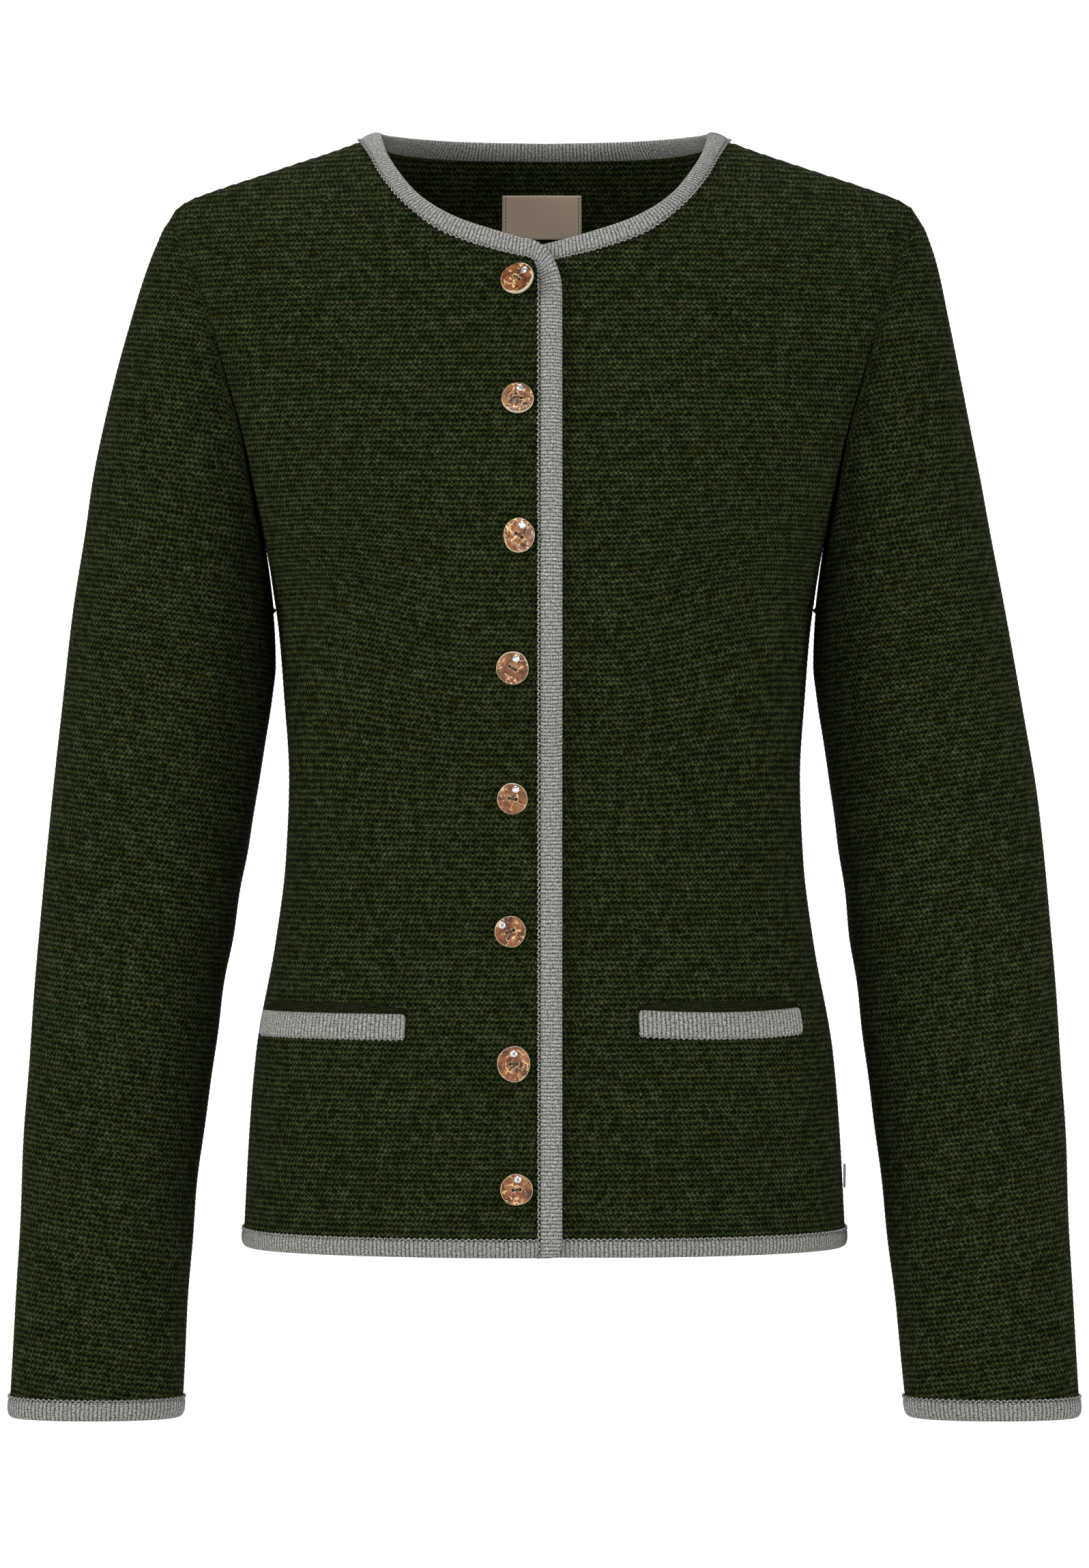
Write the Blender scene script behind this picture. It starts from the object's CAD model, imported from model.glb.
"""A buttoned knit cardigan in its worn shape, hollow, with folded jersey bands and horn buttons.

The forms are worked out in millimetres and turned to metres where each mesh is made. +Z is up, the
front faces -Y and +X is the wearer's left. The origin lies between the high points of the shoulders.
"""
import math

import bmesh
import bpy
import numpy as np
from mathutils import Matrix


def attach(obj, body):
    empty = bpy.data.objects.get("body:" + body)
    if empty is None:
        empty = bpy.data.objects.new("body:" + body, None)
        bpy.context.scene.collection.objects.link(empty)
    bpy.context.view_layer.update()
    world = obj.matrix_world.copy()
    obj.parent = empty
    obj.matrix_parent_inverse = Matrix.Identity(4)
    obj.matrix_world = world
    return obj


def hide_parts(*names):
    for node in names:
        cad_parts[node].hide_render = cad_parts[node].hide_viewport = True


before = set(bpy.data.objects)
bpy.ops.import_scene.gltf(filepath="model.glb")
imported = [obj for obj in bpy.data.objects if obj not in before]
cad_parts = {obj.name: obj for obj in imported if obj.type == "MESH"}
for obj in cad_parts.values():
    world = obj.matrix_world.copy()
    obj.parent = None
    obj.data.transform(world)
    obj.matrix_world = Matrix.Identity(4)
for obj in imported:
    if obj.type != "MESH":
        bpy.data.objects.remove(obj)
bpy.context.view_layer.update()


# Back panel.
# One piece of knitted cloth from side seam to side seam, in heather wool and cotton yarn. Its purl
# side shows, so rows of small loops stand up in level ridges. It is linked to the fronts and sleeves.

MM = 0.001
WALL = 2.4              # thickness of the knitted cloth
HEM_SEAM_Z = -569       # where the hem band is sewn on
HEM_EDGE_Z = -579
UNDERARM_Z = -250
SHOULDER_TIP_Z = -45
NECK_SEAM_X = 97        # where the neck band's seam crosses the shoulder
SHOULDER_ROLL = 85      # drop over which the cloth rounds over the shoulder
SQUARENESS = 2.35       # exponent of the body's sections, 2 being an ellipse
ROW = 2.87              # height of one ridge of purl loops
STITCH = 2.5            # width of one loop
ROW_STEPS = 4           # mesh rows in a ridge
RIDGE = 0.2             # how far a ridge stands up
TUCK = 0.15             # the cloth runs on under a band by this share of the band's width
HEM_TUCK = 1.5          # how far it runs on under the hem band
BACK_COLUMNS = 86
SEAM_TURN = 1.3         # how far the cloth turns past a seam, and how deep it goes there
SEAM_DEPTH = 1.2
SEAM_VALLEY = 4.5       # width of the soft valley along a seam
MERGE_WITHIN = 2e-6     # points this close together, in metres, become one


def table(names, *rows):
    return dict(zip(names.split(), np.array(rows, float).T))


BODY = table(
    "z half front back",
    (0, 204, 62, 75), (-60, 205, 77, 84), (-101, 196.3, 90, 90), (-144, 178, 106, 95),
    (-185, 161.6, 118, 98), (-217, 149.3, 125, 98), (-250, 139.3, 128, 96), (-294, 135.3, 120, 87),
    (-336, 132.8, 105, 80), (-379, 134.5, 99, 84), (-421, 139.7, 99, 92), (-478, 149.8, 102, 101),
    (-520, 153.4, 104, 105), (-579, 156.5, 106, 107))
ARMHOLE = table(
    "z x",
    (-45, 196), (-60, 187.5), (-75, 181.5), (-101, 171.5), (-125, 165.5), (-163, 155),
    (-185, 150.5), (-217, 144.8), (-250, 139.3))
SHOULDER = table(
    "x z",
    (0, 50), (40, 39), (62, 24), (76, 10.6), (85.6, 0), (100, -6.7), (133, -18), (168, -29.5),
    (184, -35.3), (192.6, -40.8), (196, -45))
BACK_NECK = table(
    "at seam_x seam_z free_x free_z",
    (0, 0, -9, 0, 0.5), (0.35, 38, -8.6, 36, 0.8), (0.65, 69, -8, 62, 1),
    (0.85, 86, -7, 76, 0.8), (1, 97, -5.6, 85.6, 0))


def through(rows, start, end):
    """A smooth curve through the rows of a table, from one named column to another."""
    order = np.argsort(rows[start])
    x, y = rows[start][order], rows[end][order]
    step = np.diff(y) / np.diff(x)
    slope = np.concatenate([step[:1], step[1:], step[-1:]])
    both = step[:-1] * step[1:]
    total = step[:-1] + step[1:]
    slope[1:-1] = np.where(both > 0, 2 * both / np.where(both > 0, total, 1), 0)

    def curve(value):
        at = np.clip(value, x[0], x[-1])
        i = np.clip(np.searchsorted(x, at) - 1, 0, len(x) - 2)
        width = x[i + 1] - x[i]
        t = (at - x[i]) / width
        s = 1 - t
        return (y[i] * s * s * (1 + 2 * t) + slope[i] * width * t * s * s
                + y[i + 1] * t * t * (3 - 2 * t) - slope[i + 1] * width * t * t * s)
    return curve


half_width = through(BODY, "z", "half")
depth_of = {face: through(BODY, "z", face) for face in ("front", "back")}
armhole_x = through(ARMHOLE, "z", "x")
shoulder_z = through(SHOULDER, "x", "z")


def smoothstep(start, end, value):
    t = np.clip((value - start) / (end - start), 0, 1)
    return t * t * (3 - 2 * t)


def lerp(a, b, t):
    return a + (b - a) * t


def points(x, y, z):
    return np.stack(np.broadcast_arrays(x, y, z), -1).astype(float)


def bell(value, middle, width):
    """1 at a middle value, falling away to nothing within about two widths of it."""
    return np.exp(-((value - middle) / width) ** 2)


def unit(vectors, least=1e-12):
    """Vectors brought to length 1, apart from those shorter than the least."""
    return vectors / np.maximum(np.linalg.norm(vectors, axis=-1, keepdims=True), least)


def roll(x, z):
    """How far the cloth has come away from the shoulder line, from 0 on it to 1 below its rounding."""
    drop = np.clip((shoulder_z(np.abs(x)) - z) / SHOULDER_ROLL, 0, 1)
    return np.sqrt(1 - (1 - drop) ** 2)


def angle_at(x, z, face):
    """Angle round the body, from the middle, of the point a distance x from the middle line."""
    across = np.minimum(np.abs(x) / half_width(z), 1)
    depth = depth_of[face](z) * (1 - across ** SQUARENESS) ** (1 / SQUARENESS)
    return np.sign(x) * np.arctan2(np.abs(x), depth)


def soft_folds(x, z, face):
    """Shallow folds of the cloth where it gathers at the waist and hangs below it, in and out."""
    side = np.abs(x)
    waist = bell(z, -345, 34) * smoothstep(45, 115, side)
    folds = 1.5 * waist * np.cos((z + 338 + 0.16 * side) / 7.6)
    skirt = smoothstep(-400, -520, z) * (0.9 * np.cos(x / 21 + 0.6) + 0.6 * np.cos(x / 33 - z / 90))
    if face == "back":
        small = bell(z, -330, 40) * bell(x, 0, 85)
        return folds + skirt + 1.3 * small * np.cos((z + 330 + 0.1 * x) / 9)
    bust = bell(z, -300, 30) * smoothstep(60, 110, side) * smoothstep(140, 120, side)
    return folds + 0.5 * skirt + bust * np.cos((z + 300 - 0.5 * side) / 11)


def body_surface(angle, z, face):
    """Outer face of the body at an angle round it and a height."""
    s, c = np.sin(angle), np.maximum(np.cos(angle), 0)
    n = SQUARENESS
    radius = ((np.abs(s) / half_width(z)) ** n + (c / depth_of[face](z)) ** n) ** (-1 / n)
    x = radius * s
    rolled = roll(x, z)
    inwards = 0.45 * (1 + soft_folds(x, z, face)) * rolled * smoothstep(1, 0.8, np.abs(s))
    return points(x, (-1 if face == "front" else 1) * (radius * c * rolled - inwards), z)


def back_surface(angle, z):
    return body_surface(angle, z, "back")


def normals_of(surface, a, b, facing, step_a=0.004, step_b=0.6):
    """Unit normals of a surface of two values, by default an angle round the body and a height."""
    along = surface(a + step_a, b) - surface(a - step_a, b)
    up = surface(a, b) - surface(a, b - step_b)
    return unit(np.cross(along, up)) * facing


def panel_edge(z, face):
    """Angle of a panel's outer edge: the side seam up to the underarm, and then the armhole."""
    return np.where(z <= UNDERARM_Z, math.pi / 2, angle_at(armhole_x(z), z, face))


def panel_grid(face, across, start_angle, top_line, surface, lift):
    """Grid of a panel's outer face whose rows are the knitted rows, cut off at the panel's top."""
    count = int(-HEM_SEAM_Z / ROW * ROW_STEPS) + 1
    level = HEM_SEAM_Z - HEM_TUCK + np.arange(count) * ROW / ROW_STEPS

    def angles(z):
        return lerp(start_angle(z), panel_edge(z, face), across[:, None])
    z = np.broadcast_to(level, (len(across), count))
    z = z + lift(surface(angles(z), z)[..., 0], z)
    spare = top_line(surface(angles(z), z)[..., 0]) - z
    last = np.argmax(spare < 0, axis=1)
    last[~(spare < 0).any(axis=1)] = count - 1
    column = np.arange(len(across))
    before, after = spare[column, last - 1], spare[column, last]
    top = lerp(z[column, last - 1], z[column, last], np.clip(before / (before - after), 0, 1))
    z = np.where(np.arange(count) < last[:, None], z, top[:, None])
    return angles(z), z, np.broadcast_to(level, z.shape)


def made_mesh(name, vertices, faces, flat=None):
    """A mesh from points in millimetres, with their places on the flat cloth as its UV layer."""
    mesh = bpy.data.meshes.new(name)
    mesh.from_pydata((vertices * MM).tolist(), [], faces)
    layer = mesh.uv_layers.new(name="cloth")
    if flat is not None:
        loops = np.empty(len(mesh.loops), dtype=np.int32)
        mesh.loops.foreach_get("vertex_index", loops)
        layer.uv.foreach_set("vector", flat[loops].astype(np.float32).ravel())
    return mesh


def quads(*corners):
    """Faces from the point numbers of their four corners."""
    return np.stack(corners, -1).reshape(-1, 4).tolist()


def cloth_mesh(name, outer, inner, flat, joined):
    """A thin closed shell from an outer grid and an inner one that has every ROW_STEPS-th row."""
    columns, rows = outer.shape[:2]
    inner = inner[:, ::ROW_STEPS]
    count = inner.shape[1]
    vertices = np.concatenate([outer.reshape(-1, 3), inner.reshape(-1, 3)])
    places = np.concatenate([flat.reshape(-1, 2), flat[:, ::ROW_STEPS].reshape(-1, 2)])
    o = np.arange(columns * rows).reshape(columns, rows)
    n = columns * rows + np.arange(columns * count).reshape(columns, count)
    faces = quads(o[:-1, :-1], o[1:, :-1], o[1:, 1:], o[:-1, 1:])
    faces += quads(n[:-1, :-1], n[:-1, 1:], n[1:, 1:], n[1:, :-1])
    faces += quads(o[:-1, 0], n[:-1, 0], n[1:, 0], o[1:, 0])
    faces += quads(o[:-1, -1], o[1:, -1], n[1:, -1], n[:-1, -1])
    if not joined:
        for j in range(count - 1):
            k = j * ROW_STEPS
            faces.append([*o[0, k:k + ROW_STEPS + 1], n[0, j + 1], n[0, j]])
            faces.append([*o[-1, k:k + ROW_STEPS + 1][::-1], n[-1, j], n[-1, j + 1]])
    return made_mesh(name, vertices, faces, places)


def placed(name, data):
    """Adds an object to the scene."""
    added = bpy.data.objects.new(name, data)
    bpy.context.scene.collection.objects.link(added)
    return added


def finish_mesh(name, mesh, material, slot, *nodes):
    """Merges points that coincide, faces everything outwards and adds the piece to the scene."""
    work = bmesh.new()
    work.from_mesh(mesh)
    bmesh.ops.remove_doubles(work, verts=work.verts, dist=MERGE_WITHIN)
    bmesh.ops.recalc_face_normals(work, faces=work.faces)
    work.to_mesh(mesh)
    work.free()
    mesh.shade_smooth()
    mesh.materials.append(material)
    piece = placed(name, mesh)
    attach(piece, "root")
    if nodes:
        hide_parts(*nodes)
    return piece


def ridges(level, amount):
    """Height of the purl ridges at a place along the rows."""
    phase = (level - HEM_SEAM_Z) / ROW
    return amount * (np.abs(np.sin(math.pi * phase)) ** 0.8 - 0.6)


def linear(hex_colour):
    """An sRGB hex value as linear red, green, blue and alpha."""
    parts = [int(hex_colour[i:i + 2], 16) / 255 for i in (1, 3, 5)]
    return (*[c / 12.92 if c <= 0.04045 else ((c + 0.055) / 1.055) ** 2.4 for c in parts], 1)


class Finish:
    """A procedural material while its nodes are put together. Inputs are values or the sockets to
    link from, and what each method gives back is a socket."""

    def __init__(self, name):
        self.material = bpy.data.materials.new(name)
        self.material.use_nodes = True
        self.tree = self.material.node_tree
        self.tree.nodes.clear()

    def add(self, kind, inputs=None, **settings):
        """Adds a node with its settings and inputs, and gives back the node."""
        made = self.tree.nodes.new("ShaderNode" + kind)
        for key, value in settings.items():
            setattr(made, key, value)
        for key, value in (inputs or {}).items():
            if isinstance(value, bpy.types.NodeSocket):
                self.tree.links.new(value, made.inputs[key])
            else:
                made.inputs[key].default_value = value
        return made

    def maths(self, operation, *values):
        return self.add("Math", dict(enumerate(values)), operation=operation).outputs[0]

    def on_cloth(self):
        """The place on the flat cloth, in millimetres."""
        return self.add("UVMap", uv_map="cloth").outputs[0]

    def in_piece(self):
        return self.add("TexCoord").outputs["Object"]

    def noise(self, place, scale, output=0, **inputs):
        return self.add("TexNoise", {"Vector": place, "Scale": scale, **inputs}).outputs[output]

    def moved(self, place, by, amount):
        """A place, moved by another vector times an amount along each axis."""
        return self.add("VectorMath", {0: by, 1: amount, 2: place}, operation="MULTIPLY_ADD").outputs[0]

    def ranged(self, value, low, high, start=0.0, end=1.0):
        """From start to end as a value goes from low to high."""
        return self.add("MapRange", {0: value, 1: low, 2: high, 3: start, 4: end}).outputs[0]

    def mix(self, amount, *colours):
        """A blend of two colours, each a hex value or a socket."""
        first, second = (linear(c) if isinstance(c, str) else c for c in colours)
        return self.add("Mix", {0: amount, 6: first, 7: second}, data_type="RGBA").outputs[2]

    def done(self, colour, shine, relief=None):
        """Ends the material: colour, shader values, and a relief as its strength, depth and height."""
        if relief:
            bump = self.add("Bump", {"Strength": relief[0], "Distance": relief[1] * MM,
                                     "Height": relief[2]})
            shine = {**shine, "Normal": bump.outputs[0]}
        shader = self.add("BsdfPrincipled", {"Base Color": colour, **shine})
        self.add("OutputMaterial", {0: shader.outputs[0]})
        return self.material


def purl_knit(name, shades, valley, row, stitch):
    """Wool and cotton yarn spun from several dyed greens, knitted with its purl side out. Matt rows
    of small slanted loops with dark hollows between them, each few loops in another shade."""
    finish = Finish(name)
    maths, noise, ranged = finish.maths, finish.noise, finish.ranged
    place = finish.on_cloth()
    drift = noise(place, 0.16, "Color", Detail=3.0, Roughness=0.6)
    wobble = noise(place, 0.55, "Color", Detail=1.0)
    moved = finish.moved(finish.moved(place, drift, (2.2, 1.7, 0.0)), wobble, (1.7, 1.7, 0.0))
    split = finish.add("SeparateXYZ", {0: moved}).outputs
    rows = maths("DIVIDE", split["Y"], row)
    shift = maths("MULTIPLY", maths("SINE", maths("MULTIPLY", maths("FLOOR", rows), 2.3)), 0.22)
    slanted = maths("MULTIPLY_ADD", rows, -0.3, maths("DIVIDE", split["X"], stitch))
    loops = maths("ADD", slanted, shift)
    across = maths("COSINE", maths("MULTIPLY", loops, 2 * math.pi))
    curled = maths("MULTIPLY_ADD", maths("SUBTRACT", 1.0, across), 0.14, rows)
    up = maths("COSINE", maths("MULTIPLY", curled, 2 * math.pi))
    height = maths("MULTIPLY_ADD", maths("MULTIPLY", across, up), 0.5, 0.5)
    height = maths("MULTIPLY_ADD", up, 0.16, height)
    cell = finish.add("CombineXYZ", {0: maths("FLOOR", loops), 1: maths("FLOOR", rows)}).outputs[0]
    own = finish.add("TexWhiteNoise", {0: cell}, noise_dimensions="2D").outputs[0]
    along = finish.add("VectorMath", {0: moved, 1: (0.45, 1.0, 1.0)}, operation="MULTIPLY").outputs[0]
    yarn = noise(along, 0.8, Detail=3.0, Roughness=0.75)
    dye = noise(along, 0.22, "Color", Detail=2.0, Roughness=0.7)
    dyes = finish.add("SeparateXYZ", {0: dye}).outputs
    light = maths("MULTIPLY_ADD", yarn, 0.6, maths("MULTIPLY", own, 0.4))
    colour = finish.mix(ranged(light, 0.2, 0.8), shades[0], shades[1])
    colour = finish.mix(ranged(dyes["X"], 0.48, 0.8), colour, shades[2])
    colour = finish.mix(ranged(dyes["Y"], 0.55, 0.8), colour, shades[3])
    peaks = maths("POWER", maths("MAXIMUM", height, 0.0), 2.2)
    colour = finish.mix(ranged(peaks, -0.04, 0.92), valley, colour)
    relief = maths("MULTIPLY_ADD", noise(place, 2.4, Detail=2.0), 0.5, height)
    shine = {"Roughness": 1.0, "IOR": 1.45, "Specular IOR Level": 0.03}
    return finish.done(colour, shine, (1.0, 0.6, relief))


green_knit = purl_knit("green_purl_knit", ("#20290f", "#525b39", "#1c3615", "#31350b"), "#020301",
                       ROW, STITCH)


def groove(distance, depth, width=SEAM_VALLEY):
    """A soft valley where the cloth is pulled in along a seam."""
    return depth * bell(distance, 0, width)


def turned_under(outer, inner, flat, normal, edge):
    """Adds a column past one edge of a grid, turned in and under, as cloth is where it is linked."""
    aside = unit(inner[edge] - inner[1 if edge == 0 else -2], 1e-6) * SEAM_TURN
    depth = outer[edge] - normal[edge] * SEAM_DEPTH
    columns = [(outer, depth + aside), (inner, inner[edge] + aside), (flat, flat[edge])]
    if edge == 0:
        return tuple(np.concatenate([extra[None], grid]) for grid, extra in columns)
    return tuple(np.concatenate([grid, extra[None]]) for grid, extra in columns)


def arc_lengths(grid, origin=0):
    """Distance along each row of a grid from one of its columns."""
    steps = np.linalg.norm(np.diff(grid, axis=0), axis=-1)
    total = np.concatenate([np.zeros((1, grid.shape[1])), np.cumsum(steps, axis=0)])
    return total - total[origin]


def panel_piece(name, face, across, start_angle, top_line, surface, lift, facing):
    """Makes one panel of the body in ridged knit, with the valleys along its seams."""
    angles, z, level = panel_grid(face, across, start_angle, top_line, surface, lift)
    two_seams = across[0] < 0
    base = surface(angles, z)
    normal = normals_of(surface, angles, z, facing)
    length = arc_lengths(base, len(across) // 2 if two_seams else 0)
    seam_depth = np.where(z > UNDERARM_Z, 1.3, 0.7)
    dip = groove(length - length[-1], seam_depth)
    if two_seams:
        dip = dip + groove(length - length[0], seam_depth)
    at_shoulder = np.abs(base[..., 0]) > NECK_SEAM_X
    dip = dip + groove(np.linalg.norm(base - base[:, -1:], axis=-1), 0.5 * at_shoulder, 2.5)
    outer = base + normal * (ridges(level, RIDGE) - dip)[..., None]
    inner = base - normal * (WALL - 0.8 * ridges(level + ROW / 2, 0.4)[..., None])
    flat = np.stack([length, np.where(z < level - 0.01, z, level) - HEM_SEAM_Z], -1)
    for edge in (-1, 0) if two_seams else (-1,):
        outer, inner, flat = turned_under(outer, inner, flat, normal, edge)
    mesh = cloth_mesh(f"knit_{name}", outer, inner, flat, False)
    return finish_mesh(f"knit_{name}", mesh, green_knit, "green_knit", name)


def neck_line(rows, across):
    """Where the cloth ends under the neck band, as x and z."""
    seam_x, seam_z, free_x, free_z = (through(rows, "at", key)(across) for key in list(rows)[1:])
    return lerp(seam_x, free_x, TUCK), lerp(seam_z, free_z, TUCK)


def back_top(x):
    """Top line of the back: under the neck band, then along the shoulder."""
    neck_x, neck_z = neck_line(BACK_NECK, np.linspace(0, 1, 60))
    side = np.abs(x)
    return np.where(side < neck_x[-1], np.interp(side, neck_x, neck_z), shoulder_z(side))


back = panel_piece("back", "back", np.linspace(-1, 1, BACK_COLUMNS + 1), lambda z: 0 * z, back_top,
                   back_surface, lambda x, z: 0 * z, -1)


# Front panels.
# Two knitted fronts in the same cloth. The right front laps over the left one by about five
# centimetres at the middle, and their rows rise towards the sides under the fullness of the chest.

LAP = 2.2               # how far each front steps out or in where they lap
LAP_FLAT = {"right": 43, "left": 14}    # distance from the middle at which that step starts to fade
LAP_FADE = 38
CORNER = 6              # radius of the front's corner at the neck
FRONT_EDGE = {"right": (4, -9), "left": (-26, -39)}     # seam and free edge of the front band
FRONT_COLUMNS = 54
LIFT = 15               # how far the rows rise towards the sides
FRONT_NECK = table(
    "at seam_x seam_z free_x free_z",
    (-0.4, -39, -83, -39, -72.5), (-0.16, -16, -78, -15, -67.5), (0, 0, -74.5, 0, -64.2),
    (0.24, 27, -68, 24.5, -57.3), (0.46, 51, -59.5, 46, -49.8), (0.66, 72, -43.5, 63.8, -38.5),
    (0.82, 83.5, -28.5, 74.9, -25.5), (0.93, 91, -15, 82.3, -12), (1, 97, -5.6, 85.6, 0))
SIGN = {"right": -1, "left": 1}


def lapped(p, side):
    """Steps points out on the right front or in on the left one where they lap, on that side."""
    step = LAP * (1 - smoothstep(LAP_FLAT[side], LAP_FLAT[side] + LAP_FADE, p[..., 0]))
    p[..., 1] -= step if side == "right" else -step
    p[..., 0] *= SIGN[side]
    return p


def front_surface(side):
    """A front's outer face, by angles outward from the middle on its own side."""
    return lambda angle, z: lapped(body_surface(angle, z, "front"), side)


def front_top(side):
    """Top line of a front: the rounded corner, the neckline and the shoulder."""
    seam = FRONT_EDGE[side][0]
    neck_x, neck_z = neck_line(FRONT_NECK, np.linspace(-0.4, 1, 120))

    def line(x):
        out = x * SIGN[side]
        near = np.clip(1 - (out - seam) / CORNER, 0, 1)
        corner = CORNER * (1 - np.sqrt(1 - near ** 2))
        return np.where(out < neck_x[-1], np.interp(out, neck_x, neck_z) - corner, shoulder_z(out))
    return line


def rising_rows(x, z):
    """How far the rows have risen, most of all below the chest and away from the middle."""
    return LIFT * bell(z, -275, 62) * smoothstep(30, 125, np.abs(x))


for side in ("right", "left"):
    seam = FRONT_EDGE[side][0] - 2
    spread = np.linspace(0, 1, FRONT_COLUMNS + 1)
    panel = panel_piece(
        f"front_{side}", "front", spread, lambda z: angle_at(seam + 0 * z, z, "front"),
        front_top(side), front_surface(side), rising_rows, SIGN[side])


# Sleeves.
# Two set-in sleeves of the same knit, each one piece closed by a seam under the arm. The rows run
# square to the arm, and the cap is linked into the armhole, where the seam pulls in a soft valley.

SLEEVE_SQUARENESS = 2.15
SLEEVE_COLUMNS = 58
ARM_LEAN = math.radians(8.6)    # of the arm from upright
CUFF_STATION = 14       # the station where the cuff is sewn on
SLEEVE = table(         # armhole says how far the ring at a station still follows the armhole
    "at outer_z inner_z depth y armhole",
    (0, -45, -250, 53, -2, 1), (1, -54, -256, 54.5, -2, 0.85), (2, -68, -263, 55.5, -3, 0.6),
    (3, -88, -272, 56.5, -4, 0.35), (4, -116, -284, 57, -4, 0.15), (5, -150, -300, 57, -4, 0.05),
    (6, -190, -320, 56, -3, 0), (7, -235, -345, 54, -2, 0), (8, -285, -377, 51.5, -1, 0),
    (9, -340, -416, 49, -1, 0), (10, -400, -460, 46, -4, 0), (11, -462, -510, 42.5, -9, 0),
    (12, -526, -560, 39, -15, 0), (13, -590, -608, 35, -21, 0), (14, -654.6, -654.6, 31, -27, 0),
    (15, -666, -666, 30.3, -28, 0))
ARM_OUTER = table(
    "z right left",
    (-45, 196, 196), (-66, 205, 203.5), (-95, 214.2, 209.7), (-123, 222, 215.3), (-152, 229, 221),
    (-180, 234.8, 226.6), (-208, 238.9, 231.8), (-250, 245.6, 240), (-300, 251.3, 249),
    (-350, 256.8, 257.3), (-421, 263.3, 264), (-493, 268.5, 269), (-564, 272, 272),
    (-666, 276.2, 276.2))
ARM_INNER = table(
    "z right left",
    (-250, 139.3, 139.3), (-256, 139.8, 139.8), (-279, 139.4, 139.4), (-294, 140.9, 140.9),
    (-322, 145.2, 145.2), (-350, 149.7, 149.2), (-393, 157, 155), (-436, 164.4, 160.4),
    (-493, 172.4, 167.6), (-564, 180.8, 175.9), (-620, 184.3, 181.9), (-666, 187, 187))
station = {key: through(SLEEVE, "at", key) for key in SLEEVE if key != "at"}


def armhole_point(turn):
    """The armhole seam at a turn from the shoulder tip (0) down the front to the underarm (pi)."""
    z = lerp(SHOULDER_TIP_Z, UNDERARM_Z, (1 - np.cos(turn)) / 2)
    x = armhole_x(z)
    front, rear = (body_surface(angle_at(x, z, face), z, face)[..., 1] for face in ("front", "back"))
    y = np.where(np.sin(turn) > 0, front, rear) * (np.abs(np.sin(turn)) > 1e-9)
    return points(x, y, z)


def sleeve_surface(side):
    """A sleeve's outer face: stations down the arm, turns round it from the outer line."""
    outer_x, inner_x = through(ARM_OUTER, "z", side), through(ARM_INNER, "z", side)

    def ring(at, turn):
        outer_z, inner_z = station["outer_z"](at), station["inner_z"](at)
        outer, inner = outer_x(outer_z), inner_x(inner_z)
        c, s = (np.sign(wave) * np.abs(wave) ** (2 / SLEEVE_SQUARENESS)
                for wave in (np.cos(turn), np.sin(turn)))
        return points(lerp(inner, outer, (1 + c) / 2), station["y"](at) - station["depth"](at) * s,
                      lerp(inner_z, outer_z, (1 + c) / 2))

    def creases(at, turn):
        """Soft creases inside the elbow, in the cap and above the cuff."""
        elbow = bell(at, 9.2, 1.5) * np.clip(-np.cos(turn - 0.5), 0, 1) ** 0.7
        bend = 1.1 * elbow * np.cos(at * 5.2 + 0.8 * np.sin(turn))
        cap = 0.8 * bell(at, 3.2, 1.4) * np.cos(at * 3.1 + 1.5 * np.cos(turn))
        low = 0.7 * bell(at, 12, 1.3) * np.cos(at * 4.4 + 1.1 * np.sin(turn + 0.7))
        return bend + cap * np.abs(np.sin(turn)) + low

    def surface(at, turn):
        p = ring(at, turn)
        kept = armhole_point(turn) - ring(0 * at, turn)
        p = p + kept * station["armhole"](at)[..., None]
        middle = (ring(at, 0 * turn) + ring(at, 0 * turn + math.pi)) / 2
        middle[..., 1] = station["y"](at)
        fade = smoothstep(0, 1.5, at) * smoothstep(14, 13, at)
        p = p - unit(p - middle) * (0.55 * (1.2 + creases(at, turn)) * fade)[..., None]
        p[..., 0] *= SIGN[side]
        return p
    return surface


for side in ("right", "left"):
    surface = sleeve_surface(side)
    turns = np.linspace(-math.pi, math.pi, SLEEVE_COLUMNS + 1)
    fine = np.linspace(0, CUFF_STATION + TUCK, 900)
    down = surface(fine[None, :], turns[:, None] + 0 * fine[None, :])
    axial = -down[..., 2] * math.cos(ARM_LEAN) + np.abs(down[..., 0]) * math.sin(ARM_LEAN)
    levels = np.arange(axial.min(), axial.max() + ROW / ROW_STEPS, ROW / ROW_STEPS)
    at = np.stack([np.interp(levels, row, fine) for row in axial])
    turn = turns[:, None] + 0 * at
    base = surface(at, turn)
    normal = normals_of(lambda a, b: surface(np.maximum(a, 0), b), at, turn, -SIGN[side], 0.03, 0.02)
    level = np.broadcast_to(levels, at.shape)
    length = arc_lengths(base)
    raised = ridges(level + HEM_SEAM_Z, RIDGE)
    raised = raised - groove(np.linalg.norm(base - surface(0 * at, turn), axis=-1), 1.4)
    raised = raised - groove(np.minimum(length, np.abs(length[-1:] - length)), 0.6, 2.5)
    outer = base + normal * raised[..., None]
    inner = base - normal * WALL
    flat = np.stack([length, level], -1)
    past = unit(surface(0.05 + 0 * at[:, :1], turn[:, :1]) - base[:, :1]) * SEAM_TURN
    deep = outer[:, :1] - normal[:, :1] * SEAM_DEPTH - past
    outer, inner, flat = (
        np.concatenate([np.repeat(start, ROW_STEPS, axis=1), grid], axis=1)
        for start, grid in ((deep, outer), (inner[:, :1] - past, inner), (flat[:, :1], flat)))
    mesh = cloth_mesh(f"knit_sleeve_{side}", outer, inner, flat, True)
    sleeve = finish_mesh(f"knit_sleeve_{side}", mesh, green_knit, "green_knit", f"sleeve_{side}")


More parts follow.
